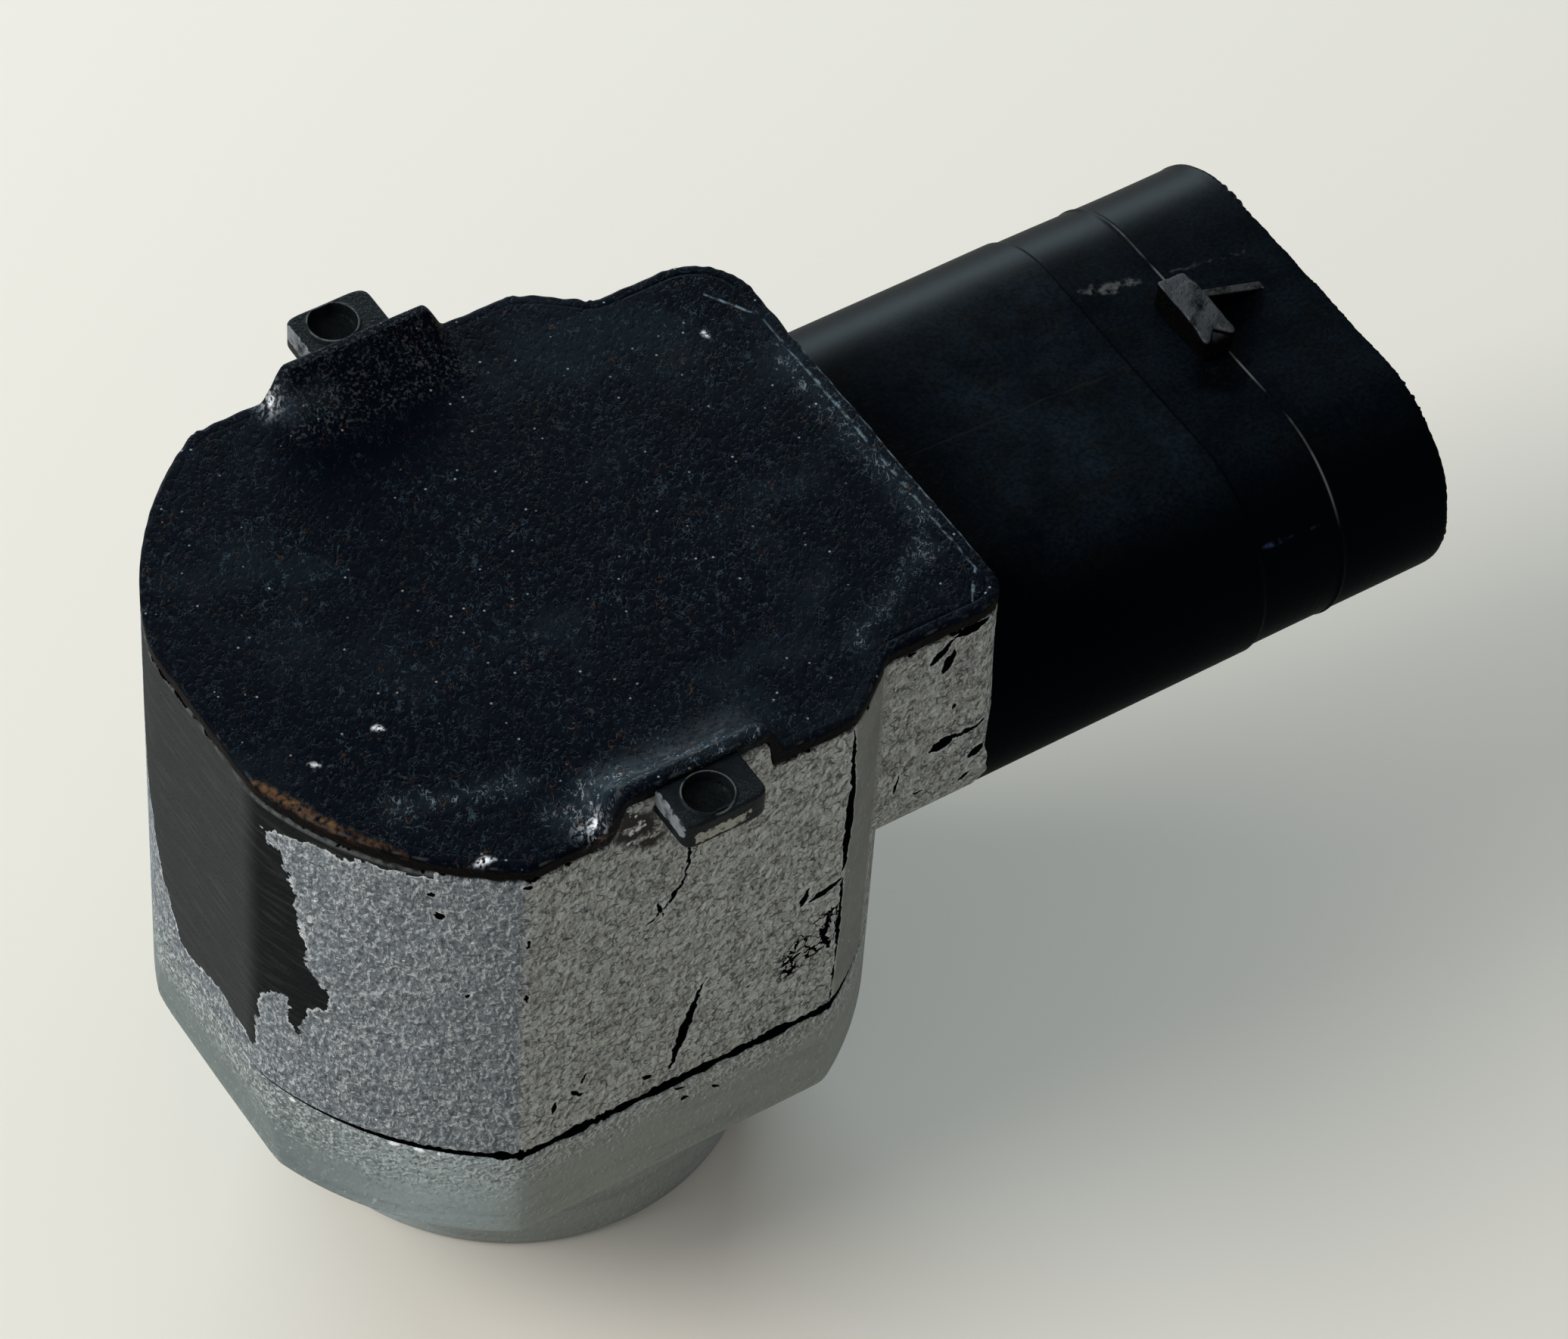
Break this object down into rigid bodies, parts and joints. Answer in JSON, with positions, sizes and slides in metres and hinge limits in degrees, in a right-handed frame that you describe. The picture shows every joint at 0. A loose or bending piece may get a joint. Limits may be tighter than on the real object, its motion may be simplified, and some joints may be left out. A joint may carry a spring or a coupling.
{
  "type": "parking sensor",
  "caption": "Ultrasonic bumper parking sensor: round flatted body with a nose, black rear cover, side lugs and an oval connector shroud with a latch nub.",
  "frame": {"origin": "centre of the front face, on the nose axis", "axes": "+Z along the nose axis from the front face to the rear cover, +X from the axis towards the connector"},
  "size_m": [0.0496, 0.0282, 0.0308],
  "materials": {
    "housing_plastic": "flaked grey paint over black grained plastic",
    "body_paint": "satin grey paint",
    "cover_plastic": "fine grain",
    "aluminium": "satin",
    "silicone": "matt",
    "ceramic": "fired",
    "foam": "matt",
    "inner_plastic": "matt",
    "copper": "enamelled",
    "board": "solder mask",
    "ferrite": "sintered",
    "tin": "tinned"
  },
  "bodies": {
    "root": {"housing": "housing_plastic", "front_collar": "body_paint", "rear_cover": "cover_plastic", "transducer_cup": "aluminium", "decoupling_ring": "silicone", "piezo_disc": "ceramic", "damping_foam": "foam", "transducer_cap": "inner_plastic", "signal_lead": "copper", "ground_lead": "copper", "circuit_board": "board", "transformer_core": "ferrite", "transformer_bobbin": "inner_plastic", "transformer_winding": "copper", "control_chip": "inner_plastic", "storage_capacitor": "tin", "ceramic_capacitors": "ceramic", "chip_resistors": "inner_plastic", "power_pin": "tin", "data_pin": "tin", "ground_pin": "tin", "terminal_comb": "inner_plastic"}
  },
  "joints": []
}
